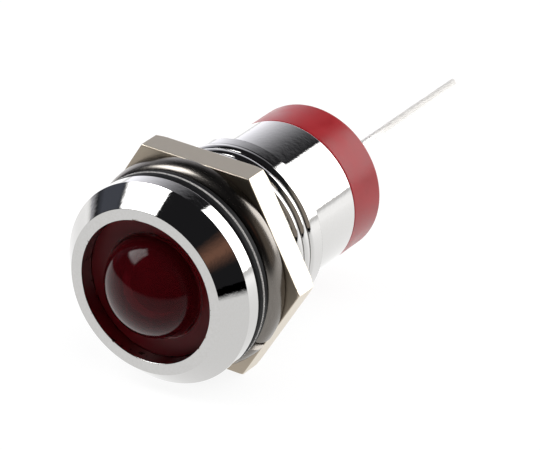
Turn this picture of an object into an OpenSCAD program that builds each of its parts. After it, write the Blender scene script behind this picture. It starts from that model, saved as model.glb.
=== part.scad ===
// Panel pilot light with a recessed red dome, chrome bush, gasket, spring washer and hex nut.
// Origin on the long axis at the panel seat, the rear face of the flange; the lens looks along -Y.

/* [Bush] */
// major diameter of the mounting thread
thread_d = 16; // [15:0.1:17]
// pitch of the mounting thread
thread_pitch = 1; // [0.75:0.05:1.25]
// end of the thread, from the panel seat
thread_end = 12; // [11:0.5:14]
// step down from the thread to the plain barrel
barrel_step = 0.95; // [0.7:0.05:1.1]
// wall of the barrel
barrel_wall = 1.05; // [0.8:0.05:1.4]
// length of the plain barrel behind the thread
barrel_l = 6.7; // [6:0.1:10]

/* [Flange] */
// how far the flange stands out beyond the thread
flange_w = 1.3; // [1:0.05:2]
// width of the flat face ring round the opening
face_w = 1.05; // [0.6:0.05:1.5]
// thickness of the flange, front face to panel seat
bezel_t = 3.4; // [3:0.1:4.5]
// straight part of the rim behind the bevel
rim_t = 1.4; // [0.8:0.1:1.9]
// width of the shoulder that carries the lens
shoulder_w = 0.6; // [0.4:0.05:0.8]
// depth of the lens floor below the front face
recess_depth = 1.5; // [1:0.1:1.8]

/* [Lens] */
// diameter of the dome at its foot
dome_d = 9.35; // [8.6:0.05:10]
// height of the dome above the lens floor
dome_h = 3.75; // [3:0.05:4.6]
// thickness of the lens flange
lens_t = 1.2; // [1:0.1:1.3]
// length of the skirt behind the flange
skirt_l = 3; // [2:0.1:3.4]
// wall of the skirt
skirt_w = 1; // [0.6:0.1:1.4]

/* [Seals and fixings] */
// thickness of the seal behind the lens flange
seal_t = 0.8; // [0.6:0.1:1]
// thickness of the panel gasket
gasket_t = 1.85; // [1.2:0.05:2.2]
// section of the spring washer across the axis
washer_w = 1.45; // [1.1:0.05:1.8]
// thickness of the spring washer
washer_t = 1.85; // [1.4:0.05:2.2]
// width of the split in the spring washer
split_w = 0.7; // [0.4:0.1:1.2]
// direction of the split round the axis
split_turn = -35; // [-180:5:180]
// wall of the nut from the thread to a flat
nut_wall = 1.5; // [1.2:0.05:2.2]
// thickness of the nut
nut_t = 2.5; // [2:0.1:3.2]
// resting direction of the nut corners round the axis
nut_turn = -2; // [-30:1:30]

/* [Rear plug and leads] */
// step down from the barrel to the rear plug
plug_step = 0.05; // [0:0.05:0.3]
// length of the rear plug behind the barrel
plug_l = 4.3; // [3:0.1:6]
// length of the spigot inside the barrel
spigot_l = 4.5; // [3.5:0.1:5]
// wall of the spigot
spigot_w = 1; // [0.7:0.1:1.4]
// rear wall of the plug
plug_wall = 1.5; // [1:0.1:2]
// diameter of the tinned leads
lead_d = 0.65; // [0.5:0.05:0.8]
// coat of tin on the leads, full on the free ends and none at the board
tin_t = 0.02; // [0.01:0.01:0.05]
// distance from the plug to the full coat of tin
bare_l = 1.5; // [0.5:0.1:4]
// distance between the two leads
lead_gap = 2.54; // [2:0.02:3]
// long lead, measured from the rear face of the plug
long_lead_l = 22.7; // [15:0.1:28]
// short lead, measured from the rear face of the plug
short_lead_l = 20; // [12:0.5:26]
// direction of the lead plane round the axis
lead_turn = 42; // [0:1:90]

/* [Lamp] */
// diameter of the light emitting diode body
lamp_d = 5; // [4.6:0.1:5.4]
// height of the light emitting diode body
lamp_h = 8.6; // [8:0.1:9]
// clear space between the lamp and the hollow of the lens
lamp_gap = 0.4; // [0.2:0.1:0.6]
// thickness of the spacer round the lamp
holder_t = 2.6; // [1.6:0.1:2.6]

/* [Board] */
// front face of the circuit board, behind the lamp
board_gap = 2.4; // [2:0.1:3]
// thickness of the circuit board
board_t = 1; // [0.8:0.1:1.4]
// body diameter of the series resistor
resistor_d = 1.9; // [1.6:0.1:2.2]
// body length of the series resistor
resistor_l = 4.2; // [3.4:0.1:4.8]
// body diameter of the blocking diode
diode_d = 1.8; // [1.5:0.1:2.1]
// body length of the blocking diode
diode_l = 3.8; // [3:0.1:4.4]

/* [Hidden] */
$fn = 96;
e = 0.1;
press_gap = 0.02;
slip_gap = 0.1;
edge = 0.1;
arc_steps = 6;
dome_steps = 24;
thread_r = thread_d / 2;
thread_depth = 0.613 * thread_pitch;
thread_root_r = thread_r - thread_depth;
thread_crest_l = 0.3 * thread_pitch;
thread_root_l = 0.14 * thread_pitch;
thread_flank_l = (thread_pitch - thread_crest_l - thread_root_l) / 2;
barrel_r = thread_r - barrel_step;
barrel_end = thread_end + barrel_l;
bore_r = barrel_r - barrel_wall;
opening_r = bore_r + shoulder_w;
face_r = opening_r + face_w;
bezel_r = thread_r + flange_w;
floor_y = recess_depth - bezel_t;
lens_back = floor_y + lens_t;
pocket_y = lens_back + seal_t;
relief_r = thread_root_r - slip_gap;
relief_l = 0.6;
thread_rings = floor((thread_end - relief_l - thread_depth) / thread_pitch);
thread_y = thread_end - thread_flank_l - thread_rings * thread_pitch;
thread_end_r = max(thread_root_r, barrel_r + edge / 2);
dome_r = dome_d / 2;
dome_foot = 0.25;
dome_sweep = acos(dome_foot / dome_h);
tip_wall = 2.65;
lamp_tip_y = floor_y - dome_h + tip_wall;
lamp_r = lamp_d / 2;
lamp_back = lamp_tip_y + lamp_h;
lamp_flange_w = 0.4;
lamp_flange_r = lamp_r + lamp_flange_w;
lamp_flange_t = 1;
lamp_lead_w = 0.5;
lamp_lead_gap = 2.54;
lamp_post_h = 3.5;
lamp_head_h = 1.3;
lamp_post_y = lamp_back - lamp_post_h;
lamp_head_y = lamp_post_y - lamp_head_h;
lamp_cup_w = lamp_lead_gap / 2 + lamp_lead_w;
lamp_post_w = 0.8;
chip_w = 0.4;
chip_t = 0.2;
cavity_r = lamp_r + lamp_gap;
cavity_y = lamp_tip_y - lamp_gap;
skirt_r = bore_r - slip_gap;
skirt_bore_r = skirt_r - skirt_w;
skirt_end = lens_back + skirt_l;
holder_r = bore_r - press_gap;
holder_y = max(lamp_back - holder_t, skirt_end + slip_gap);
board_fit = 0.3;
board_r = bore_r - board_fit;
board_y = lamp_back + board_gap;
board_back = board_y + board_t;
lead_tail = 0.6;
lamp_lead_end = board_back + 2 * lead_tail;
hole_gap = 0.12;
wire_r = 0.25;
wire_end = board_y - lead_tail;
part_lift = 0.6;
part_inset = 2.2;
part_x = board_r - part_inset;
parts_y = board_back + part_lift + max(resistor_d, diode_d) / 2;
wire_reach = 0.9;
resistor_cap = resistor_l / 5;
solder_w = 0.4;
solder_h = 0.5;
plug_r = barrel_r - plug_step;
plug_end = barrel_end + plug_l;
spigot_r = bore_r - press_gap;
spigot_y = barrel_end - spigot_l;
plug_bore_r = spigot_r - spigot_w;
plug_wall_y = plug_end - plug_wall;
potting_gap = 1.3;
potting_y = spigot_y + potting_gap;
lead_r = lead_d / 2;
lead_core_r = lead_r - tin_t;
tin_y = plug_end + bare_l;
lead_hole_r = lead_r + slip_gap;
gasket_hole_r = thread_r + slip_gap;
gasket_round = min(0.55, gasket_t / 2 - press_gap);
washer_hole_r = thread_r + 2 * slip_gap;
washer_r = washer_hole_r + washer_w;
washer_y = gasket_t;
washer_edge = 0.25;
washer_crown_w = 0.6 * washer_w;
washer_crown_l = 0.7 * washer_t;
nut_y = gasket_t + washer_t;
nut_gap = 0.15;
nut_hole_r = thread_r + nut_gap;
nut_corner_r = (thread_r + nut_wall) / cos(30);
nut_front_bevel = 0.06;
nut_back_bevel = 0.2;
bore_bevel = thread_depth / 2;

// points of an arc or part ellipse, angles in degrees
function arc(centre, rx, ry, from, to, steps) = [
    for (i = [0 : steps])
        let (a = from + (to - from) * i / steps)
            centre + [rx * cos(a), ry * sin(a)]
];

// groove between two crests of the thread, the crest in front of it starts at y
function thread_groove(y) = [
    [thread_r, y + thread_crest_l],
    [thread_root_r, y + thread_crest_l + thread_flank_l],
    [thread_root_r, y + thread_crest_l + thread_flank_l + thread_root_l],
    [thread_r, y + thread_pitch]
];

// stands a profile drawn as (radius, distance) on the long axis
module turned() {
    rotate([-90, 0, 0])
        rotate_extrude()
            children();
}

// round bar along the long axis, tapered when the two radii differ
module bar(r_from, r_to, from, to) {
    translate([0, from, 0])
        rotate([-90, 0, 0])
            cylinder(r1 = r_from, r2 = r_to, h = to - from);
}

// turns inner parts round the axis into the plane of the leads
module in_lead_plane(extra) {
    rotate([0, -lead_turn - extra, 0])
        children();
}

// flange, shank and barrel turned from one bar; its thread is drawn as one ring a turn
module bezel_bush() {
    color("silver")
        turned()
            polygon([
                [opening_r, edge - bezel_t],
                [opening_r + edge, -bezel_t],
                [face_r, -bezel_t],
                [bezel_r, -rim_t],
                [bezel_r, -edge],
                [bezel_r - edge, 0],
                [relief_r, 0],
                [relief_r, relief_l],
                [thread_r, relief_l + thread_depth],
                for (i = [0 : thread_rings - 1])
                    each thread_groove(thread_y + i * thread_pitch),
                [thread_end_r, thread_end],
                [barrel_r, thread_end],
                [barrel_r, barrel_end - edge],
                [barrel_r - edge, barrel_end],
                [bore_r, barrel_end],
                [bore_r, pocket_y],
                [opening_r, pocket_y]
            ]);
}

// coloured lens: dome, floor, centring skirt and the hollow for the lamp
module lens() {
    color("firebrick")
        turned()
            polygon([
                each arc([0, floor_y], dome_r, dome_h, -90, dome_sweep - 90, dome_steps),
                each arc([dome_r + dome_foot, floor_y - dome_foot], dome_foot, dome_foot, 180, 90, arc_steps),
                [opening_r - press_gap, floor_y],
                [opening_r - press_gap, lens_back],
                [skirt_r, lens_back],
                [skirt_r, skirt_end],
                [skirt_bore_r, skirt_end],
                [skirt_bore_r, lens_back],
                each arc([0, cavity_y + cavity_r], cavity_r, cavity_r, 0, -90, dome_steps)
            ]);
}

// soft ring between the lens flange and the shoulder of the bush
module lens_seal() {
    color("dimgray")
        turned()
            translate([bore_r + edge / 2, lens_back])
                square([opening_r - bore_r - edge, seal_t]);
}

// rubber ring that seals the flange on the panel
module panel_gasket() {
    middle = bezel_r - gasket_round;
    color("black")
        turned()
            polygon([
                [gasket_hole_r, 0],
                each arc([middle, gasket_round], gasket_round, gasket_round, -90, 0, arc_steps),
                each arc([middle, gasket_t - gasket_round], gasket_round, gasket_round, 0, 90, arc_steps),
                [gasket_hole_r, gasket_t]
            ]);
}

// split spring washer, crowned towards the gasket
module lock_washer() {
    inner = washer_hole_r + washer_edge;
    outer = washer_r - washer_edge;
    front = washer_y + washer_edge;
    back = washer_y + washer_t - washer_edge;
    crown = [washer_r - washer_crown_w, washer_y + washer_crown_l];
    color("lightgray")
        difference() {
            turned()
                polygon([
                    each arc([outer, back], washer_edge, washer_edge, 0, 90, arc_steps),
                    each arc([inner, back], washer_edge, washer_edge, 90, 180, arc_steps),
                    each arc([inner, front], washer_edge, washer_edge, 180, 270, arc_steps),
                    each arc(crown, washer_crown_w, washer_crown_l, 270, 360, 2 * arc_steps)
                ]);
            rotate([0, -split_turn, 0])
                translate([washer_hole_r - e, washer_y - e, -split_w / 2])
                    cube([washer_w + 2 * e, washer_t + 2 * e, split_w]);
        }
}

// hexagonal panel nut
module hex_nut() {
    color("tan")
        translate([0, nut_y, 0])
            rotate([0, -nut_turn, 0])
                difference() {
                    intersection() {
                        rotate([-90, 0, 0])
                            cylinder(r = nut_corner_r, h = nut_t, $fn = 6);
                        turned()
                            polygon([
                                [0, 0],
                                [nut_corner_r - 2 * nut_front_bevel, 0],
                                [nut_corner_r + e, nut_front_bevel + e / 2],
                                [nut_corner_r + e, nut_t - nut_back_bevel - e / 2],
                                [nut_corner_r - 2 * nut_back_bevel, nut_t],
                                [0, nut_t]
                            ]);
                    }
                    bar(nut_hole_r, nut_hole_r, -e, nut_t + e);
                    bar(nut_hole_r + bore_bevel, nut_hole_r, 0, bore_bevel);
                    bar(nut_hole_r, nut_hole_r + bore_bevel, nut_t - bore_bevel, nut_t);
                }
}

// moulded body of the light emitting diode, cast round its leads
module lamp_body() {
    color("red")
        difference() {
            turned()
                polygon([
                    each arc([0, lamp_tip_y + lamp_r], lamp_r, lamp_r, -90, 0, dome_steps),
                    [lamp_r, lamp_back - lamp_flange_t],
                    [lamp_flange_r, lamp_back - lamp_flange_t],
                    [lamp_flange_r, lamp_back],
                    [0, lamp_back]
                ]);
            lamp_anode();
            lamp_cathode();
            lamp_chip();
        }
}

// light emitting chip on the head of the cathode
module lamp_chip() {
    color("yellow")
        in_lead_plane(90)
            translate([-chip_w / 2, lamp_head_y - chip_t, -chip_w / 2])
                cube([chip_w, chip_t, chip_w]);
}

// square lead of the lamp with its wider head inside the moulded body
module lamp_lead(head_w) {
    translate([lamp_lead_gap / 2 - lamp_lead_w / 2, lamp_head_y, -lamp_lead_w / 2])
        cube([lamp_lead_w, lamp_lead_end - lamp_head_y, lamp_lead_w]);
    translate([lamp_lead_gap / 2 + lamp_lead_w / 2 - head_w, lamp_head_y, -lamp_lead_w / 2])
        cube([head_w, lamp_post_y - lamp_head_y, lamp_lead_w]);
}

// anode post of the lamp
module lamp_anode() {
    color("gainsboro")
        in_lead_plane(90)
            lamp_lead(lamp_post_w);
}

// cathode lead of the lamp, its head reaches the axis and carries the chip
module lamp_cathode() {
    color("gainsboro")
        in_lead_plane(270)
            lamp_lead(lamp_cup_w);
}

// spacer that holds the lamp on the axis of the bush
module lamp_holder() {
    color("dimgray")
        turned()
            polygon([
                [lamp_r + slip_gap, holder_y],
                [holder_r, holder_y],
                [holder_r, lamp_back],
                [lamp_flange_r + slip_gap, lamp_back],
                [lamp_flange_r + slip_gap, lamp_back - lamp_flange_t],
                [lamp_r + slip_gap, lamp_back - lamp_flange_t]
            ]);
}

// puts a copy at the four wire holes of the resistor and the diode
module at_wire_holes() {
    for (s = [-1, 1]) {
        translate([-part_x, 0, s * (resistor_l / 2 + wire_reach)])
            children();
        translate([part_x, 0, s * (diode_l / 2 + wire_reach)])
            children();
    }
}

// puts a copy at each of two holes either side of the axis
module at_pair(way) {
    for (s = [-1, 1])
        translate(s * way / 2)
            children();
}

// hole through the board for a wire of the given radius
module board_hole(r) {
    bar(r + hole_gap, r + hole_gap, board_y - e, board_back + e);
}

// round circuit board with its holes
module circuit_board() {
    color("darkgreen")
        in_lead_plane(0)
            difference() {
                bar(board_r, board_r, board_y, board_back);
                at_pair([lead_gap, 0, 0])
                    board_hole(lead_r);
                at_pair([0, 0, lamp_lead_gap])
                    board_hole(lamp_lead_w * sqrt(2) / 2);
                at_wire_holes()
                    board_hole(wire_r);
            }
}

// wires of a part lying on the board: out of each end, then down through the board
module part_wires(x, half_l) {
    for (s = [-1, 1])
        translate([x, parts_y, 0])
            scale([1, 1, s])
                union() {
                    translate([0, 0, half_l])
                        cylinder(r = wire_r, h = wire_reach);
                    translate([0, 0, half_l + wire_reach])
                        sphere(r = wire_r);
                    translate([0, 0, half_l + wire_reach])
                        rotate([90, 0, 0])
                            cylinder(r = wire_r, h = parts_y - wire_end);
                }
}

// coated body of the series resistor with its thicker end caps
module resistor_body() {
    color("wheat")
        in_lead_plane(0)
            translate([-part_x, parts_y, 0])
                rotate_extrude()
                    polygon([
                        [0, -resistor_l / 2],
                        [resistor_d / 2 - edge, -resistor_l / 2],
                        [resistor_d / 2, edge - resistor_l / 2],
                        [resistor_d / 2, resistor_cap - resistor_l / 2],
                        [resistor_d / 2 - edge, 2 * edge + resistor_cap - resistor_l / 2],
                        [resistor_d / 2 - edge, resistor_l / 2 - resistor_cap - 2 * edge],
                        [resistor_d / 2, resistor_l / 2 - resistor_cap],
                        [resistor_d / 2, resistor_l / 2 - edge],
                        [resistor_d / 2 - edge, resistor_l / 2],
                        [0, resistor_l / 2]
                    ]);
}

// two wires of the series resistor
module resistor_wires() {
    color("gainsboro")
        in_lead_plane(0)
            part_wires(-part_x, resistor_l / 2);
}

// glass body of the blocking diode
module diode_body() {
    color("orange")
        in_lead_plane(0)
            translate([part_x, parts_y, 0])
                rotate_extrude()
                    polygon([
                        [0, -diode_l / 2],
                        [diode_d / 2 - 2 * edge, -diode_l / 2],
                        [diode_d / 2, 2 * edge - diode_l / 2],
                        [diode_d / 2, diode_l / 2 - 2 * edge],
                        [diode_d / 2 - 2 * edge, diode_l / 2],
                        [0, diode_l / 2]
                    ]);
}

// two wires of the blocking diode
module diode_wires() {
    color("gainsboro")
        in_lead_plane(0)
            part_wires(part_x, diode_l / 2);
}

// solder cone round a wire of the given radius; it stands on the board and points away from it
module solder_cone(from, way, r) {
    translate([0, from, 0])
        rotate([-90 * way, 0, 0])
            difference() {
                cylinder(r1 = r + solder_w, r2 = r + solder_w / 3, h = solder_h);
                translate([0, 0, -e])
                    cylinder(r = r, h = solder_h + 2 * e);
            }
}

// joints of the lamp leads on the back of the board
module lamp_solder() {
    color("lightgray")
        in_lead_plane(0)
            at_pair([0, 0, lamp_lead_gap])
                solder_cone(board_back, 1, lamp_lead_w * sqrt(2) / 2);
}

// joints of the resistor and diode wires on the front of the board
module wire_solder() {
    color("lightgray")
        in_lead_plane(0)
            at_wire_holes()
                solder_cone(board_y, -1, wire_r);
}

// joints of the two tinned leads on the front of the board
module lead_solder() {
    color("lightgray")
        in_lead_plane(0)
            at_pair([lead_gap, 0, 0])
                solder_cone(board_y, -1, lead_core_r);
}

// moulded plug: ring behind the barrel, spigot inside it, rear wall with two lead holes
module rear_plug() {
    color("crimson")
        in_lead_plane(0)
            difference() {
                turned()
                    polygon([
                        [0, plug_wall_y],
                        [plug_bore_r, plug_wall_y],
                        [plug_bore_r, spigot_y],
                        [spigot_r, spigot_y],
                        [spigot_r, barrel_end],
                        [plug_r - edge, barrel_end],
                        [plug_r, barrel_end + edge],
                        [plug_r, plug_end - edge],
                        [plug_r - edge, plug_end],
                        [0, plug_end]
                    ]);
                at_pair([lead_gap, 0, 0])
                    bar(lead_hole_r, lead_hole_r, plug_wall_y - e, plug_end + e);
            }
}

// radius of a lead where its tin runs out towards the board
function lead_r_at(y) = lead_core_r + tin_t * (y - wire_end) / (tin_y - wire_end);

// resin cast inside the plug round the two leads
module potting() {
    color("gray")
        in_lead_plane(0)
            difference() {
                bar(plug_bore_r, plug_bore_r, potting_y, plug_wall_y);
                at_pair([lead_gap, 0, 0])
                    bar(lead_r_at(potting_y - e), lead_r_at(plug_wall_y + e), potting_y - e, plug_wall_y + e);
            }
}

// straight lead: the tin runs out from just behind the plug to the board
module tinned_lead(side, length) {
    free_end = plug_end + length;
    in_lead_plane(0)
        translate([side * lead_gap / 2, 0, 0])
            union() {
                bar(lead_core_r, lead_r, wire_end, tin_y);
                bar(lead_r, lead_r, tin_y, free_end - edge);
                bar(lead_r, lead_r - edge, free_end - edge, free_end);
            }
}

// longer lead, on the anode side
module long_lead() {
    color("gainsboro")
        tinned_lead(1, long_lead_l);
}

// shorter lead, on the cathode side
module short_lead() {
    color("gainsboro")
        tinned_lead(-1, short_lead_l);
}

bezel_bush();
lens();
lens_seal();
panel_gasket();
lock_washer();
hex_nut();
lamp_body();
lamp_chip();
lamp_anode();
lamp_cathode();
lamp_holder();
circuit_board();
resistor_body();
resistor_wires();
diode_body();
diode_wires();
lamp_solder();
wire_solder();
lead_solder();
rear_plug();
potting();
long_lead();
short_lead();
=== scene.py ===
import math
import bmesh
import bpy
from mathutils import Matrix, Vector, noise


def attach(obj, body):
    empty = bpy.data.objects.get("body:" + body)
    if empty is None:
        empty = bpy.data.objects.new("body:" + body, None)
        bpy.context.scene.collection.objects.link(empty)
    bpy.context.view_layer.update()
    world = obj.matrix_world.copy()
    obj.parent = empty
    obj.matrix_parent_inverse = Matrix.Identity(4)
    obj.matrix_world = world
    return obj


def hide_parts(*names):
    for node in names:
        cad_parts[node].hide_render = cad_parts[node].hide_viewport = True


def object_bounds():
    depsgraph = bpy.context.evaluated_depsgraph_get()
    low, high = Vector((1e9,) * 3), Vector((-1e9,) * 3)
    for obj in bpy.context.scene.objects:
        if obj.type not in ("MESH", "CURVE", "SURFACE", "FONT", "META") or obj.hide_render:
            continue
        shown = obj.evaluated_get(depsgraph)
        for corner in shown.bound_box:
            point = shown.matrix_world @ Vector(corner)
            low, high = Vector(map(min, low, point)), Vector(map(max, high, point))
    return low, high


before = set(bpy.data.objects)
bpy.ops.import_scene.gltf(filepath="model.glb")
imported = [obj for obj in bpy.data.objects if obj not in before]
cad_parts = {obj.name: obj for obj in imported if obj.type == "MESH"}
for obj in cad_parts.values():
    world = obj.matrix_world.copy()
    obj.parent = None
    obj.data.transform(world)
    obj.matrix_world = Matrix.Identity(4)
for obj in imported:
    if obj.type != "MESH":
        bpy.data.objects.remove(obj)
cad_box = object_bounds()
MM = 0.001


# Bush. One brass turning carries flange, mounting thread and barrel; it is
# polished and bright chromium plated, so every edge is a small soft round and
# the plating rounds the thread crests.
thread_r = 8.0
thread_root = 7.55
run_out = 10.9
pitch = 1.0
thread_from = 0.6
thread_to = 12.0
thread_phase = 0.30
crest_drop = 0.2
root_w = 0.14
barrel_r = 7.05
barrel_to = 18.7
bore_r = 6.0
opening_r = 6.6
face_r = 7.65
flange_r = 9.3
flange_front = -3.4
rim_front = -1.4
shoulder_back = 0.1
turns_cut = 240


def linear(code):
    """Linear colour of an sRGB hex value."""
    parts = [int(code[i:i + 2], 16) / 255 for i in (1, 3, 5)]
    return [*(c / 12.92 if c <= 0.04045 else ((c + 0.055) / 1.055) ** 2.4 for c in parts), 1]


def add(tree, kind, settings):
    """Adds a shader node; a key is a property or a socket, a value is a constant or a link."""
    node = tree.nodes.new("ShaderNode" + kind)
    for key, value in settings.items():
        if isinstance(key, str) and hasattr(node, key):
            setattr(node, key, value)
        elif isinstance(value, bpy.types.NodeSocket):
            tree.links.new(value, node.inputs[key])
        else:
            node.inputs[key].default_value = value
    return node


def new_material(name):
    """Empty material, its node tree and object coordinates in millimetres."""
    made = bpy.data.materials.new(name)
    made.use_nodes = True
    tree = made.node_tree
    tree.nodes.clear()
    place = add(tree, "TexCoord", {})
    in_mm = add(tree, "VectorMath", {"operation": "SCALE", 0: place.outputs["Object"], "Scale": 1 / MM})
    return made, tree, in_mm.outputs[0]


def close_material(tree, shader):
    """Joins a shader to the material output."""
    add(tree, "OutputMaterial", {"Surface": shader.outputs[0]})


def rounded(corners, radius, steps=4):
    """Outline with each inner corner replaced by a small round."""
    out = [corners[0]]
    for before, at, after in zip(corners, corners[1:], corners[2:]):
        p, c, n = (Vector(v) for v in (before, at, after))
        u, w = (p - c).normalized(), (n - c).normalized()
        reach = min(radius / math.tan(u.angle(w) / 2), (p - c).length * 0.45, (n - c).length * 0.45)
        start, end = c + u * reach, c + w * reach
        out.append(tuple(c + u * reach * 1.08))
        for i in range(steps + 1):
            t = i / steps
            out.append(tuple(start.lerp(c, t).lerp(c.lerp(end, t), t)))
        out.append(tuple(c + w * reach * 1.08))
    out.append(corners[-1])
    return out


def grid_piece(name, rows):
    """Mesh object from rows of (x, y, z) points in millimetres; ends that meet are welded."""
    mesh = bmesh.new()
    lines = [[mesh.verts.new(Vector(p) * MM) for p in row] for row in rows]
    for low, high in zip(lines, lines[1:]):
        for i in range(len(low) - 1):
            mesh.faces.new((low[i], low[i + 1], high[i + 1], high[i]))
    bmesh.ops.remove_doubles(mesh, verts=mesh.verts, dist=1e-7)
    bmesh.ops.dissolve_degenerate(mesh, edges=mesh.edges, dist=1e-8)
    bmesh.ops.recalc_face_normals(mesh, faces=mesh.faces)
    data = bpy.data.meshes.new(name)
    mesh.to_mesh(data)
    mesh.free()
    for face in data.polygons:
        face.use_smooth = True
    data.set_sharp_from_angle(angle=math.radians(32))
    piece = bpy.data.objects.new(name, data)
    bpy.context.scene.collection.objects.link(piece)
    return piece


def turned_rows(outline, steps):
    """Rows of points for an outline of (radius, distance) turned round the long axis."""
    angles = [2 * math.pi * i / steps for i in range(steps + 1)]
    return [[(r * math.cos(a), y, r * math.sin(a)) for a in angles] for r, y in outline]


def fit_piece(piece, material, body, slot, *nodes):
    """Gives a piece its material and body and hides the solids it stands for; slot is not used."""
    piece.data.materials.append(material)
    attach(piece, body)
    if nodes:
        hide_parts(*nodes)
    return piece


def thread_drop(turn):
    """Depth below the crest at a place in the pitch, 0 at the middle of the root."""
    off_crest = 0.5 - min(turn % 1, 1 - turn % 1)
    root = max(0, off_crest - 0.5 + root_w / 2) / (root_w / 2)
    return crest_drop * (2 * off_crest) ** 2 + (thread_r - thread_root - crest_drop) * root


bush_outline = rounded([
    (bore_r, shoulder_back),
    (opening_r, shoulder_back),
    (opening_r, flange_front),
    (face_r, flange_front),
    (flange_r, rim_front),
    (flange_r, 0),
    (thread_root, 0),
    (thread_root, thread_from),
], 0.07)
bush_rows = turned_rows(bush_outline, turns_cut)
place_in_pitch = [0, root_w / 4, *(root_w / 2 + (0.5 - root_w / 2) * i / 7 for i in range(8))]
place_in_pitch += [1 - p for p in reversed(place_in_pitch[1:-1])]
for k in range(13):
    for part in place_in_pitch:
        row = []
        for i in range(turns_cut + 1):
            turn = i / turns_cut
            y = (k + part + thread_phase - turn) * pitch
            y = min(max(y, thread_from), thread_to)
            kept = min(max((run_out - y) / 0.4, 0), 1)
            r = thread_r - thread_drop(y / pitch - thread_phase + turn) * kept
            angle = 2 * math.pi * turn
            row.append((r * math.cos(angle), y, r * math.sin(angle)))
        bush_rows.append(row)
barrel_outline = rounded([
    (thread_r, thread_to - 0.02),
    (thread_r, thread_to),
    (barrel_r, thread_to),
    (barrel_r, barrel_to),
    (bore_r, barrel_to),
    (bore_r, shoulder_back),
], 0.07)
bush_rows += turned_rows(barrel_outline, turns_cut)
bush = grid_piece("bush_turning", bush_rows)

chrome, tree, mm = new_material("bright_chromium_plated_brass")
# A cool mirror. Long waves left by hand polishing and the peel of the plating
# bend the reflections a little; fine wipe marks, a few pits and small nicks at
# the lip of the opening break them up.
waves = add(tree, "TexNoise", {"Vector": mm, "Scale": 0.35, "Detail": 1})
wipes = add(tree, "Mapping", {"Vector": mm, "Scale": (3, 22, 3)})
marks = add(tree, "TexNoise", {"Vector": wipes.outputs[0], "Scale": 1.6, "Detail": 4, "Roughness": 0.6})
pits = add(tree, "TexVoronoi", {"Vector": mm, "Scale": 0.25, "Randomness": 1})
pit = add(tree, "MapRange", {
    "Value": pits.outputs["Distance"],
    "From Min": 0.018, "From Max": 0.03,
    "To Min": 0, "To Max": 1,
})
rough = add(tree, "MapRange", {
    "Value": marks.outputs[0],
    "From Min": 0.35, "From Max": 0.75,
    "To Min": 0.02, "To Max": 0.06,
})
wave_bump = add(tree, "Bump", {"Height": waves.outputs[0], "Strength": 0.04, "Distance": 0.2 * MM})
peel = add(tree, "TexNoise", {"Vector": mm, "Scale": 2.4, "Detail": 3})
peel_bump = add(tree, "Bump", {
    "Height": peel.outputs[0], "Strength": 0.25, "Distance": 0.02 * MM,
    "Normal": wave_bump.outputs[0],
})
mark_bump = add(tree, "Bump", {
    "Height": marks.outputs[0], "Strength": 0.04, "Distance": 0.01 * MM,
    "Normal": peel_bump.outputs[0],
})
tone = add(tree, "MapRange", {"Value": marks.outputs[0], "From Min": 0.3, "From Max": 0.7})
tint = add(tree, "Mix", {
    "data_type": "RGBA", 0: tone.outputs[0], 6: linear("#C5C4C2"), 7: linear("#CAC9C8"),
})
pitted = add(tree, "Mix", {
    "data_type": "RGBA", 0: pit.outputs[0], 6: linear("#3A3836"), 7: tint.outputs[2],
})
bush_at = add(tree, "SeparateXYZ", {0: mm})
flat_at = add(tree, "CombineXYZ", {0: bush_at.outputs["X"], 1: bush_at.outputs["Z"]})
off_axis = add(tree, "VectorMath", {"operation": "LENGTH", 0: flat_at.outputs[0]})
nicks_to = opening_r + 0.16
lip = add(tree, "MapRange", {
    "Value": off_axis.outputs["Value"],
    "From Min": nicks_to, "From Max": nicks_to - 0.08,
})
nicks = add(tree, "TexNoise", {"Vector": mm, "Scale": 1.4, "Detail": 4, "Roughness": 0.7})
nick = add(tree, "MapRange", {"Value": nicks.outputs[0], "From Min": 0.6, "From Max": 0.63})
nicked = add(tree, "Math", {"operation": "MULTIPLY", 0: lip.outputs[0], 1: nick.outputs[0]})
worn = add(tree, "Mix", {
    "data_type": "RGBA", 0: nicked.outputs[0], 6: pitted.outputs[2], 7: linear("#6B5A54"),
})
plate = add(tree, "BsdfPrincipled", {
    "Base Color": worn.outputs[2],
    "Metallic": 1,
    "Roughness": rough.outputs[0],
    "Normal": mark_bump.outputs[0],
})
close_material(tree, plate)
fit_piece(bush, chrome, "bush", "chrome_plate", "bezel_bush")


# Lens. One clear red polycarbonate moulding: glass-smooth polished dome, flat
# floor from an etched part of the tool, and a skirt inside the bush.
floor_y = -1.9
dome_r = 4.675
dome_h = 3.75
foot = 0.25
lens_back = -0.7
skirt_r = 5.9
skirt_bore = 4.9
skirt_to = 2.3
hollow_r = 2.9
hollow_tip = -3.4
lens_play = 0.02


def ellipse(centre, across, along, start, end, steps):
    """Points of an ellipse as (radius, distance), angles in degrees."""
    out = []
    for i in range(steps + 1):
        a = math.radians(start + (end - start) * i / steps)
        out.append((centre[0] + across * math.cos(a), centre[1] + along * math.sin(a)))
    return out


sweep = math.degrees(math.acos(foot / dome_h))
lens_outline = ellipse((0, floor_y), dome_r, dome_h, -90, sweep - 90, 48)
lens_outline += ellipse((dome_r + foot, floor_y - foot), foot, foot, 180, 90, 8)
lens_outline += rounded([
    (dome_r + foot + 0.05, floor_y),
    (opening_r - lens_play, floor_y),
    (opening_r - lens_play, lens_back),
    (skirt_r, lens_back),
    (skirt_r, skirt_to),
    (skirt_bore, skirt_to),
    (skirt_bore, lens_back),
    (hollow_r + 0.1, lens_back),
], 0.05)
lens_outline += ellipse((0, hollow_tip + hollow_r), hollow_r, hollow_r, 0, -90, 24)
lens_outline = [(max(r, 0), y) for r, y in lens_outline]
lens = grid_piece("lens_moulding", turned_rows(lens_outline, 192))

red_lens, tree, mm = new_material("clear_red_moulded_polycarbonate")
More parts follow.
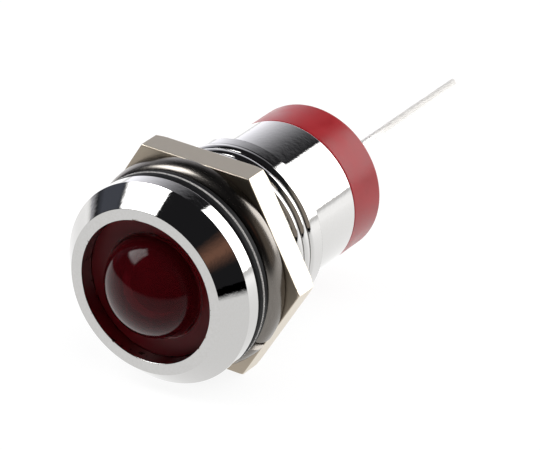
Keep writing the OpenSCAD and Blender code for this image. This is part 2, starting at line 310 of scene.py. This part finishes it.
# Deep red glass-like plastic: nearly black where it is thick. The thin floor round
# the dome is a lighter and duller red, partly its thinner section and partly painted
# light for light scattered inside the moulding. A trace of flow waviness keeps
# the gloss from being perfect.
flow = add(tree, "TexNoise", {"Vector": mm, "Scale": 0.25, "Detail": 2})
flow_bump = add(tree, "Bump", {"Height": flow.outputs[0], "Strength": 0.08, "Distance": 0.1 * MM})
dye = add(tree, "MapRange", {"Value": flow.outputs[0], "From Min": 0.35, "From Max": 0.65})
thick = add(tree, "Mix", {
    "data_type": "RGBA", 0: dye.outputs[0], 6: linear("#480910"), 7: linear("#510B12"),
})
lens_at = add(tree, "SeparateXYZ", {0: mm})
flat_at = add(tree, "CombineXYZ", {0: lens_at.outputs["X"], 1: lens_at.outputs["Z"]})
off_axis = add(tree, "VectorMath", {"operation": "LENGTH", 0: flat_at.outputs[0]})
thin = add(tree, "MapRange", {"Value": off_axis.outputs["Value"], "From Min": 4.5, "From Max": 5.0})
# Painted light: the thin floor is a lighter red, partly from its thinner section.
dye_and_inner_light = add(tree, "Mix", {
    "data_type": "RGBA", 0: thin.outputs[0], 6: thick.outputs[2], 7: linear("#761219"),
})
etched = add(tree, "MapRange", {"Value": thin.outputs[0], "To Min": 0.05, "To Max": 0.3})
gleam = add(tree, "MapRange", {"Value": thin.outputs[0], "To Min": 0.15, "To Max": 0.03})
resin = add(tree, "BsdfPrincipled", {
    "Base Color": dye_and_inner_light.outputs[2],
    "Roughness": etched.outputs[0],
    "IOR": 1.58,
    "Specular Tint": gleam.outputs[0],
    "Transmission Weight": 0.6,
    "Normal": flow_bump.outputs[0],
})
close_material(tree, resin)
fit_piece(lens, red_lens, "bush", "red_lens", "lens")


# Seals. Two nitrile rubber mouldings: a plain ring under the lens, and the
# panel gasket against the flange, which has a rounded rim with a fine parting
# line round the middle of it.
gasket_hole = 8.1
gasket_r = 9.3
gasket_to = 1.85
gasket_round = 0.55
gasket_rim = gasket_r - 0.05
parting_y = gasket_to / 2
ridge_r = gasket_r - 0.01
ridge_half = 0.03
ridge_foot = 0.09
gasket_outline = [(gasket_hole, 0.0)]
rim_centre = gasket_rim - gasket_round
gasket_outline += ellipse((rim_centre, gasket_round), gasket_round, gasket_round, -90, 0, 10)[:-1]
gasket_outline += [(gasket_rim, parting_y - ridge_foot), (ridge_r, parting_y - ridge_half)]
gasket_outline += [(ridge_r, parting_y + ridge_half), (gasket_rim, parting_y + ridge_foot)]
gasket_outline += ellipse((rim_centre, gasket_to - gasket_round), gasket_round, gasket_round, 0, 90, 10)
gasket_outline += [(gasket_hole, gasket_to), (gasket_hole, 0.0)]

black_rubber, tree, mm = new_material("black_moulded_nitrile_rubber")
# Matt black with a fine grain from the tool. Round the middle of its rim a speckled
# light grey band is painted along the parting line: partly worn flash, partly a painted highlight.
grain = add(tree, "TexNoise", {"Vector": mm, "Scale": 9, "Detail": 5, "Roughness": 0.7})
grain_bump = add(tree, "Bump", {"Height": grain.outputs[0], "Strength": 0.5, "Distance": 0.05 * MM})
dust = add(tree, "MapRange", {"Value": grain.outputs[0], "From Min": 0.4, "From Max": 0.75})
bloom = add(tree, "Mix", {
    "data_type": "RGBA", 0: dust.outputs[0], 6: linear("#08080A"), 7: linear("#161617"),
})
ring_at = add(tree, "SeparateXYZ", {0: mm})
from_middle = add(tree, "Math", {"operation": "SUBTRACT", 0: ring_at.outputs["Y"], 1: parting_y})
off_middle = add(tree, "Math", {"operation": "ABSOLUTE", 0: from_middle.outputs[0]})
parting = add(tree, "MapRange", {
    "Value": off_middle.outputs[0],
    "From Min": 0.08, "From Max": 0.15,
    "To Min": 1, "To Max": 0,
})
flash_speckle = add(tree, "MapRange", {
    "Value": grain.outputs[0],
    "From Min": 0.35, "From Max": 0.6,
    "To Min": 0.25,
})
flash_and_highlight_mask = add(tree, "Math", {"operation": "MULTIPLY", 0: parting.outputs[0], 1: flash_speckle.outputs[0]})
# Painted highlight: a light grey band on the parting line, partly worn flash.
flash_and_highlight = add(tree, "Mix", {
    "data_type": "RGBA", 0: flash_and_highlight_mask.outputs[0], 6: bloom.outputs[2], 7: linear("#B4B2B0"),
})
rubber = add(tree, "BsdfPrincipled", {
    "Base Color": flash_and_highlight.outputs[2],
    "Roughness": 0.5,
    "IOR": 1.52,
    "Specular IOR Level": 0.12,
    "Normal": grain_bump.outputs[0],
})
close_material(tree, rubber)


def dress(material, *nodes):
    """Gives solids that are shown as they are their material."""
    for name in nodes:
        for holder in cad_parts[name].material_slots:
            holder.material = material


dress(black_rubber, "lens_seal")
gasket = grid_piece("panel_seal_ring", turned_rows(gasket_outline, 200))
fit_piece(gasket, black_rubber, "bush", "black_rubber", "panel_gasket")


# Lamp. A 5 mm diffused red lamp on two tinned steel legs stands in a black
# nylon spacer behind the lens; only its tip glows through the red dome.
def mottled(name, dark, light, roughness, metallic=0, clear=0):
    """Material of one surface with a fine cloudy change of shade."""
    made, tree, mm = new_material(name)
    cloud = add(tree, "TexNoise", {"Vector": mm, "Scale": 2.5, "Detail": 3})
    shade = add(tree, "Mix", {
        "data_type": "RGBA", 0: cloud.outputs[0], 6: linear(dark), 7: linear(light),
    })
    skin = add(tree, "Bump", {"Height": cloud.outputs[0], "Strength": 0.15, "Distance": 0.05 * MM})
    shader = add(tree, "BsdfPrincipled", {
        "Base Color": shade.outputs[2],
        "Roughness": roughness,
        "Metallic": metallic,
        "Transmission Weight": clear,
        "Normal": skin.outputs[0],
    })
    close_material(tree, shader)
    return made


# Milky red casting, glossy from its mould.
dress(mottled("red_cast_diffused_epoxy", "#A31218", "#C41A20", 0.08, clear=0.7), "lamp_body")
# Amber crystal, sawn and bonded.
dress(mottled("amber_sawn_semiconductor", "#D8B23C", "#E6C65A", 0.3), "lamp_chip")
# Bright grey legs with the soft sheen of dipped tin.
tinned_steel = mottled("tin_dipped_steel_wire", "#C9CAC8", "#DADAD8", 0.3, metallic=1)
dress(tinned_steel, "lamp_anode", "lamp_cathode")
# Dark satin spacer.
dress(mottled("black_moulded_nylon", "#18181A", "#222225", 0.4), "lamp_holder")


# Board. A round glass-epoxy board carries the resistor and the diode, and
# joins the lamp to the leads.
# Green lacquer over the weave, slightly cloudy.
dress(mottled("green_lacquered_glass_epoxy", "#2E6B3A", "#3A7A45", 0.35), "circuit_board")
# Beige dipped coat, glossy and a little lumpy.
dress(mottled("beige_dipped_resistor_lacquer", "#C9B48A", "#D6C39C", 0.4), "resistor_body")
# Amber glass sleeve, fused clear.
dress(mottled("amber_fused_glass", "#B5532C", "#C9693C", 0.1, clear=0.4), "diode_body")
dress(tinned_steel, "resistor_wires", "diode_wires")


# Solder and resin. Solder cones hold the wires to the board, and black epoxy
# is poured in behind the board to keep water out.
# Grey metal with a frozen, slightly frosty skin.
solder = mottled("cast_tin_solder", "#B9BAB8", "#CFD0CE", 0.35, metallic=1)
dress(solder, "lamp_solder", "wire_solder", "lead_solder")
# Smooth black pour.
dress(mottled("black_poured_epoxy", "#141414", "#1F1F20", 0.25), "potting")


# Rear plug. A red ABS cap pressed into the barrel and sealed with resin; its
# rim is flush with the barrel but for a hairline seam.
plug_r = 7.0
plug_to = 23.0
seam = 0.07
spigot_r = 5.98
spigot_from = 14.2
plug_bore = 4.98
plug_wall = 21.5
plug_outline = rounded([
    (0.0, plug_wall),
    (plug_bore, plug_wall),
    (plug_bore, spigot_from),
    (spigot_r, spigot_from),
    (spigot_r, barrel_to + seam),
    (plug_r, barrel_to + seam),
    (plug_r, plug_to),
    (0.0, plug_to),
], 0.18)
plug = grid_piece("rear_cap", turned_rows(plug_outline, 160))

red_abs, tree, mm = new_material("red_moulded_abs")
# Opaque red with a satin skin from an etched tool, slightly paler and more
# matt where it has been handled.
skin = add(tree, "TexNoise", {"Vector": mm, "Scale": 14, "Detail": 3, "Roughness": 0.6})
cloud = add(tree, "TexNoise", {"Vector": mm, "Scale": 0.5, "Detail": 2})
skin_bump = add(tree, "Bump", {"Height": skin.outputs[0], "Strength": 0.12, "Distance": 0.02 * MM})
handled = add(tree, "MapRange", {"Value": cloud.outputs[0], "From Min": 0.35, "From Max": 0.7})
red = add(tree, "Mix", {
    "data_type": "RGBA", 0: handled.outputs[0], 6: linear("#86151B"), 7: linear("#901B21"),
})
gloss = add(tree, "MapRange", {
    "Value": cloud.outputs[0],
    "From Min": 0.3, "From Max": 0.7,
    "To Min": 0.28, "To Max": 0.38,
})
abs_skin = add(tree, "BsdfPrincipled", {
    "Base Color": red.outputs[2],
    "Roughness": gloss.outputs[0],
    "IOR": 1.53,
    "Specular Tint": (0.45, 0.45, 0.45, 1),
    "Normal": skin_bump.outputs[0],
})
close_material(tree, abs_skin)
fit_piece(plug, red_abs, "bush", "red_plastic", "rear_plug")


# Leads. Two tinned copper wires out of the cap, dipped in tin again at their
# free ends, where the coat is thicker and ends in a small drop.
lead_r = 0.325
lead_at = (0.94379, 0.84980)
lead_from = 20.9
tin_from = 24.5
lead_ends = {"long_lead": (1, 45.7), "short_lead": (-1, 43.0)}

tinned, tree, mm = new_material("hot_dipped_tinned_copper")
# Pale metal with a soft, slightly lumpy skin that turns frosty towards the
# free end, where the dipped coat is thicker.
lumps = add(tree, "TexNoise", {"Vector": mm, "Scale": 2.2, "Detail": 3})
lump_bump = add(tree, "Bump", {"Height": lumps.outputs[0], "Strength": 0.3, "Distance": 0.05 * MM})
wire_at = add(tree, "SeparateXYZ", {0: mm})
frost = add(tree, "MapRange", {
    "Value": wire_at.outputs["Y"],
    "From Min": 25, "From Max": 34,
    "To Min": 0.34, "To Max": 0.8,
})
pale = add(tree, "Mix", {
    "data_type": "RGBA", 0: lumps.outputs[0], 6: linear("#EDECE9"), 7: linear("#F8F7F5"),
})
tin = add(tree, "BsdfPrincipled", {
    "Base Color": pale.outputs[2],
    "Metallic": 1,
    "Roughness": frost.outputs[0],
    "Normal": lump_bump.outputs[0],
})
close_material(tree, tin)
for lead_name, (side, end) in lead_ends.items():
    rows = [[(side * lead_at[0], lead_from, side * lead_at[1])] * 25]
    stops = 90
    for s in range(stops + 1):
        y = lead_from + (end - lead_from) * s / stops
        coat = 0.02 * min(max((y - tin_from) / 0.8, 0), 1)
        ripple = 0.008 * noise.noise(Vector((side * 3, y * 0.9, 0))) if y > tin_from else 0
        tip = max(0.0, 1 - ((y - (end - lead_r)) / lead_r) ** 2) ** 0.5 if y > end - lead_r else 1
        r = max((lead_r - 0.02 + coat + min(ripple, 0)) * tip, 0.0)
        rows.append([
            (
                side * lead_at[0] + r * math.cos(2 * math.pi * i / 24),
                y,
                side * lead_at[1] + r * math.sin(2 * math.pi * i / 24),
            )
            for i in range(25)
        ])
    lead = grid_piece(lead_name + "_wire", rows)
    fit_piece(lead, tinned, "bush", "tinned_metal", lead_name)


# Spring washer. Spring steel wire rolled with a crown, coiled to one turn and
# split, then plated; the cut opens outwards and its end face stays bright.
washer_hole = 8.2
washer_r = 9.65
washer_from = 1.85
washer_to = 3.7
washer_edge = 0.25
crown_across = 0.87
crown_along = 1.295
split_w = 0.7
split_turn = -35
split_slant = 12
outer, inner = washer_r - washer_edge, washer_hole + washer_edge
front, back = washer_from + washer_edge, washer_to - washer_edge
wire_outline = ellipse((outer, back), washer_edge, washer_edge, 0, 90, 6)
wire_outline += ellipse((inner, back), washer_edge, washer_edge, 90, 180, 6)
wire_outline += ellipse((inner, front), washer_edge, washer_edge, 180, 270, 6)
crown = (washer_r - crown_across, washer_from + crown_along)
wire_outline += ellipse(crown, crown_across, crown_along, 270, 360, 14)
wire_outline.append(wire_outline[0])
half_gap = math.degrees(math.asin(split_w / 2 / washer_hole))
middle = Vector(((washer_hole + washer_r) / 2, (washer_from + washer_to) / 2))
washer_rows = []
washer_steps = 220
for s in range(-3, washer_steps + 4):
    along = min(max(s, 0), washer_steps) / washer_steps
    shrink = {-3: 0, -2: 0.94, -1: 0.985}.get(s if s < 0 else washer_steps - s, 1)
    row = []
    for point in wire_outline:
        r, y = middle + (Vector(point) - middle) * shrink
        slant = math.degrees((r - washer_hole) * math.tan(math.radians(split_slant)) / r)
        angle = math.radians(split_turn + half_gap + (360 - 2 * half_gap - slant * (along > 0.98)) * along)
        row.append((r * math.cos(angle), y, r * math.sin(angle)))
    washer_rows.append(row)
washer = grid_piece("spring_washer", washer_rows)

spring_steel, tree, mm = new_material("nickel_plated_spring_steel")
# Smoky grey metal: the drawn wire shows as faint lines that run round it.
drawn = add(tree, "Mapping", {"Vector": mm, "Scale": (0.6, 9, 0.6)})
lines = add(tree, "TexNoise", {"Vector": drawn.outputs[0], "Scale": 2, "Detail": 4, "Roughness": 0.65})
line_bump = add(tree, "Bump", {"Height": lines.outputs[0], "Strength": 0.12, "Distance": 0.03 * MM})
smoke = add(tree, "Mix", {
    "data_type": "RGBA", 0: lines.outputs[0], 6: linear("#6B6762"), 7: linear("#827D78"),
})
satin = add(tree, "MapRange", {
    "Value": lines.outputs[0],
    "From Min": 0.3, "From Max": 0.7,
    "To Min": 0.2, "To Max": 0.28,
})
steel = add(tree, "BsdfPrincipled", {
    "Base Color": smoke.outputs[2],
    "Metallic": 1,
    "Roughness": satin.outputs[0],
    "Normal": line_bump.outputs[0],
})
close_material(tree, steel)
fit_piece(washer, spring_steel, "washer", "spring_steel", "lock_washer")


# Hex nut. Cut from hexagonal brass bar, faced, tapped, its edges broken, and
# plated with bright nickel, which has a warm cream tone beside the chrome.
nut_flat = 9.5
nut_from = 3.7
nut_to = 6.2
nut_hole = 8.15
nut_turn = -2
front_bevel = 0.06
back_bevel = 0.2
bore_bevel = 0.3
nut_round = 0.09
edge_row = 0.02
face_row = 0.35
flat_row = 0.5
corner_r = nut_flat / math.cos(math.radians(30))
edge_arc = [(1 - math.cos(math.radians(a)), 1 - math.sin(math.radians(a))) for a in (0, 22.5, 45, 67.5, 90)]
corner_gap = [0, 0.25, 0.5, 1.2, 3]
off_angles = [g - 30 for g in corner_gap] + list(range(-25, 26, 2))
off_angles += [30 - g for g in reversed(corner_gap)]
nut_angles = [60 * side + 30 + off for side in range(6) for off in off_angles[:-1]] + [360]
nut_columns = []
for angle in nut_angles:
    side_r = nut_flat / math.cos(math.radians(angle % 60 - 30))
    front_drop = max(0, side_r - corner_r + 2 * front_bevel) / 2
    back_drop = max(0, side_r - corner_r + 2 * back_bevel) / 2
    front_r, back_r = side_r - 2 * front_drop, side_r - 2 * back_drop
    front_y, back_y = nut_from + front_drop, nut_to - back_drop
    front_in, back_in = front_r - nut_round, back_r - nut_round
    front_deep, back_deep = front_drop + nut_round, back_drop + nut_round
    column = [(nut_hole, nut_from + bore_bevel), (nut_hole + bore_bevel, nut_from)]
    column += [(front_in - face_row, nut_from), (front_in - edge_row, nut_from)]
    for along, inward in edge_arc:
        column.append((front_in + (side_r - front_in) * (1 - inward), nut_from + front_deep * along))
    column += [(side_r, nut_from + front_deep + edge_row), (side_r, front_y + flat_row)]
    column += [(side_r, back_y - flat_row), (side_r, nut_to - back_deep - edge_row)]
    for along, inward in reversed(edge_arc):
        column.append((back_in + (side_r - back_in) * (1 - inward), nut_to - back_deep * along))
    column += [(back_in - edge_row, nut_to), (back_in - face_row, nut_to), (nut_hole + bore_bevel, nut_to)]
    column += [(nut_hole, nut_to - bore_bevel), (nut_hole, nut_from + bore_bevel)]
    turn = math.radians(angle + nut_turn)
    nut_columns.append([(r * math.cos(turn), y, r * math.sin(turn)) for r, y in column])
nut = grid_piece("hex_panel_nut", nut_columns)

nickel, tree, mm = new_material("bright_nickel_plated_brass")
# Warm silvery metal; the bar's drawing lines run along the axis on the flats
# and stay faintly visible under the plating. The faced front is painted darker:
# partly its duller finish, partly painted shade where it looks onto the washer.
bar_lines = add(tree, "Mapping", {"Vector": mm, "Scale": (7, 0.5, 7)})
lines = add(tree, "TexNoise", {
    "Vector": bar_lines.outputs[0], "Scale": 1.5, "Detail": 5, "Roughness": 0.6,
})
line_bump = add(tree, "Bump", {"Height": lines.outputs[0], "Strength": 0.06, "Distance": 0.02 * MM})
warm = add(tree, "Mix", {
    "data_type": "RGBA", 0: lines.outputs[0], 6: linear("#D2C9B9"), 7: linear("#DCD3C4"),
})
nut_at = add(tree, "SeparateXYZ", {0: mm})
faced = add(tree, "MapRange", {
    "Value": nut_at.outputs["Y"],
    "From Min": nut_from + 0.02, "From Max": nut_from + 0.05,
})
# Painted shade: the front face is darker, partly also its duller faced finish.
front_finish_and_shade = add(tree, "Mix", {
    "data_type": "RGBA", 0: faced.outputs[0], 6: linear("#A69B8C"), 7: warm.outputs[2],
})
sheen = add(tree, "MapRange", {
    "Value": lines.outputs[0],
    "From Min": 0.3, "From Max": 0.7,
    "To Min": 0.34, "To Max": 0.42,
})
plated = add(tree, "BsdfPrincipled", {
    "Base Color": front_finish_and_shade.outputs[2],
    "Metallic": 1,
    "Roughness": sheen.outputs[0],
    "Normal": line_bump.outputs[0],
})
close_material(tree, plated)
fit_piece(nut, nickel, "nut", "nickel_plate", "hex_nut")


# Studio. A pale floor under the part, one large soft lamp overhead and a dark
# room whose soft panels give the chrome its bands of white, slate and black.
floor_z = cad_box[0].z
floor_mesh = bmesh.new()
bmesh.ops.create_circle(floor_mesh, cap_ends=True, segments=96, radius=0.6)
floor_data = bpy.data.meshes.new("floor")
floor_mesh.to_mesh(floor_data)
floor_mesh.free()
floor = bpy.data.objects.new("floor", floor_data)
floor.location.z = floor_z
bpy.context.scene.collection.objects.link(floor)
pale_floor, tree, mm = new_material("matt_white_laminate")
# Pale matt sheet; seen by the camera it is plain white with the part's faint
# shadow. In metal and lens it brightens towards the back, fades far away, and
# ends in the dark of the room at the front.
board = add(tree, "TexNoise", {"Vector": mm, "Scale": 0.2, "Detail": 2})
white = add(tree, "Mix", {
    "data_type": "RGBA", 0: board.outputs[0], 6: linear("#FAFAFA"), 7: linear("#FCFCFC"),
})
sheet = add(tree, "BsdfDiffuse", {"Color": white.outputs[2]})
depth = add(tree, "SeparateXYZ", {0: mm})
slope = add(tree, "MapRange", {
    "Value": depth.outputs["Y"],
    "From Min": 0, "From Max": 60,
    "To Min": 1.0, "To Max": 1.5,
})
toward = add(tree, "VectorMath", {"operation": "DOT_PRODUCT", 0: mm, 1: (0.5, -0.87, 0)})
sheet_end = add(tree, "MapRange", {
    "Value": toward.outputs["Value"],
    "From Min": 42, "From Max": 74,
    "To Min": 1, "To Max": 0,
})
reach = add(tree, "VectorMath", {"operation": "LENGTH", 0: mm})
far = add(tree, "MapRange", {
    "Value": reach.outputs["Value"],
    "From Min": 130, "From Max": 330,
    "To Min": 1, "To Max": 0.6,
})
near = add(tree, "Math", {"operation": "MULTIPLY", 0: slope.outputs[0], 1: sheet_end.outputs[0]})
in_metal = add(tree, "Math", {"operation": "MULTIPLY", 0: near.outputs[0], 1: far.outputs[0]})
ray = add(tree, "LightPath", {})
mirrored = add(tree, "Math", {
    "operation": "MAXIMUM", 0: ray.outputs["Is Glossy Ray"],
    1: ray.outputs["Is Transmission Ray"],
})
strength = add(tree, "Mix", {
    "data_type": "FLOAT", 0: mirrored.outputs[0], 2: 1.02, 3: in_metal.outputs[0],
})
plain = add(tree, "Emission", {"Color": (1, 1, 1, 1), "Strength": strength.outputs[0]})
share = add(tree, "Math", {
    "operation": "MULTIPLY_ADD", 0: ray.outputs["Is Camera Ray"], 1: 0.88,
    2: mirrored.outputs[0],
})
seen_floor = add(tree, "MixShader", {0: share.outputs[0], 1: sheet.outputs[0], 2: plain.outputs[0]})
close_material(tree, seen_floor)
floor_data.materials.append(pale_floor)

lamp_data = bpy.data.lights.new("overhead_softbox", "AREA")
lamp_data.shape = "DISK"
lamp_data.size = 1.4
lamp_data.energy = 11
lamp = bpy.data.objects.new("overhead_softbox", lamp_data)
lamp.location = (0.5, -0.05, 1.05)
lamp.rotation_euler = (Vector(lamp.location)).to_track_quat("Z", "Y").to_euler()
lamp.visible_glossy = False
lamp.visible_camera = False
bpy.context.scene.collection.objects.link(lamp)

world = bpy.data.worlds.new("studio_room")
bpy.context.scene.world = world
world.use_nodes = True
tree = world.node_tree
tree.nodes.clear()
sky = add(tree, "TexCoord", {})
way = add(tree, "SeparateXYZ", {0: sky.outputs["Generated"]})
left = add(tree, "Math", {"operation": "MULTIPLY", 0: way.outputs["X"], 1: -1})
round_axis = add(tree, "Math", {"operation": "ARCTAN2", 0: left.outputs[0], 1: way.outputs["Y"]})
bearing = add(tree, "Math", {"operation": "DEGREES", 0: round_axis.outputs[0]})
rise = add(tree, "Math", {"operation": "ARCSINE", 0: way.outputs["Z"]})
height = add(tree, "Math", {"operation": "DEGREES", 0: rise.outputs[0]})
# Each panel: bearing from, to and blur, height from, to and their blurs, all in
# degrees (bearing 0 behind the part, positive to its left), colour, strength.
panels = [
    ("right_softbox", -50, -9.5, 1.5, 0.8, 43, 1, 1.5, "#FFFFFF", 4.2),
    ("right_skirting", -60, 0, 4, -14, 1.5, 2, 1, "#F2F0EE", 0.95),
    ("right_room", -104, -52, 6, -4, 42, 5, 8, "#A3988D", 0.9),
    ("left_softbox", 98, 139, 3, 33, 66, 3, 3, "#FFFFFF", 8.5),
    ("slate_wall", 60, 98, 3, 8, 40, 4, 6, "#52555E", 1.0),
    ("left_sweep", -4, 77, 5, -60, 22.7, 5, 19.5, "#F8F8FF", 1.55),
    ("warm_wall", -137, -122, 4, 20, 36, 6, 6, "#845F4E", 1.0),
]
light = add(tree, "RGB", {})
light.outputs[0].default_value = linear("#222224")
glow = light.outputs[0]
for name, b0, b1, blur, h0, h1, low_blur, top_blur, colour, strength in panels:
    across = add(tree, "MapRange", {
        "Value": bearing.outputs[0],
        "From Min": b0 - blur, "From Max": b0 + blur,
    })
    back = add(tree, "MapRange", {
        "Value": bearing.outputs[0],
        "From Min": b1 + blur, "From Max": b1 - blur,
    })
    low = add(tree, "MapRange", {
        "Value": height.outputs[0],
        "From Min": h0 - low_blur, "From Max": h0 + low_blur,
    })
    top = add(tree, "MapRange", {
        "Value": height.outputs[0],
        "From Min": h1 + top_blur, "From Max": h1 - top_blur,
    })
    wide = add(tree, "Math", {"operation": "MULTIPLY", 0: across.outputs[0], 1: back.outputs[0]})
    tall = add(tree, "Math", {"operation": "MULTIPLY", 0: low.outputs[0], 1: top.outputs[0]})
    mask = add(tree, "Math", {"operation": "MULTIPLY", 0: wide.outputs[0], 1: tall.outputs[0]})
    shade = [c * strength for c in linear(colour)[:3]] + [1]
    mixed = add(tree, "Mix", {
        "data_type": "RGBA", "blend_type": "LIGHTEN", 0: mask.outputs[0], 6: glow, 7: shade,
    })
    mixed.label = name
    glow = mixed.outputs[2]
seen = add(tree, "LightPath", {})
backdrop = add(tree, "Mix", {
    "data_type": "RGBA", 0: seen.outputs["Is Camera Ray"], 6: glow, 7: (1, 1, 1, 1),
})
room = add(tree, "Background", {"Color": backdrop.outputs[2]})
add(tree, "OutputWorld", {"Surface": room.outputs[0]})


# Camera, above and to the right of the front, on a long lens.
camera_data = bpy.data.cameras.new("camera")
camera_data.sensor_width = 36
camera_data.lens = 285.83
camera = bpy.data.objects.new("camera", camera_data)
camera.location = (0.18505, -0.26592, 0.16926)
camera.rotation_euler = (math.radians(63.1), 0, math.radians(33.29))
camera_data.clip_start = 0.01
bpy.context.scene.collection.objects.link(camera)
bpy.context.scene.camera = camera
bpy.context.scene.view_settings.view_transform = "Standard"
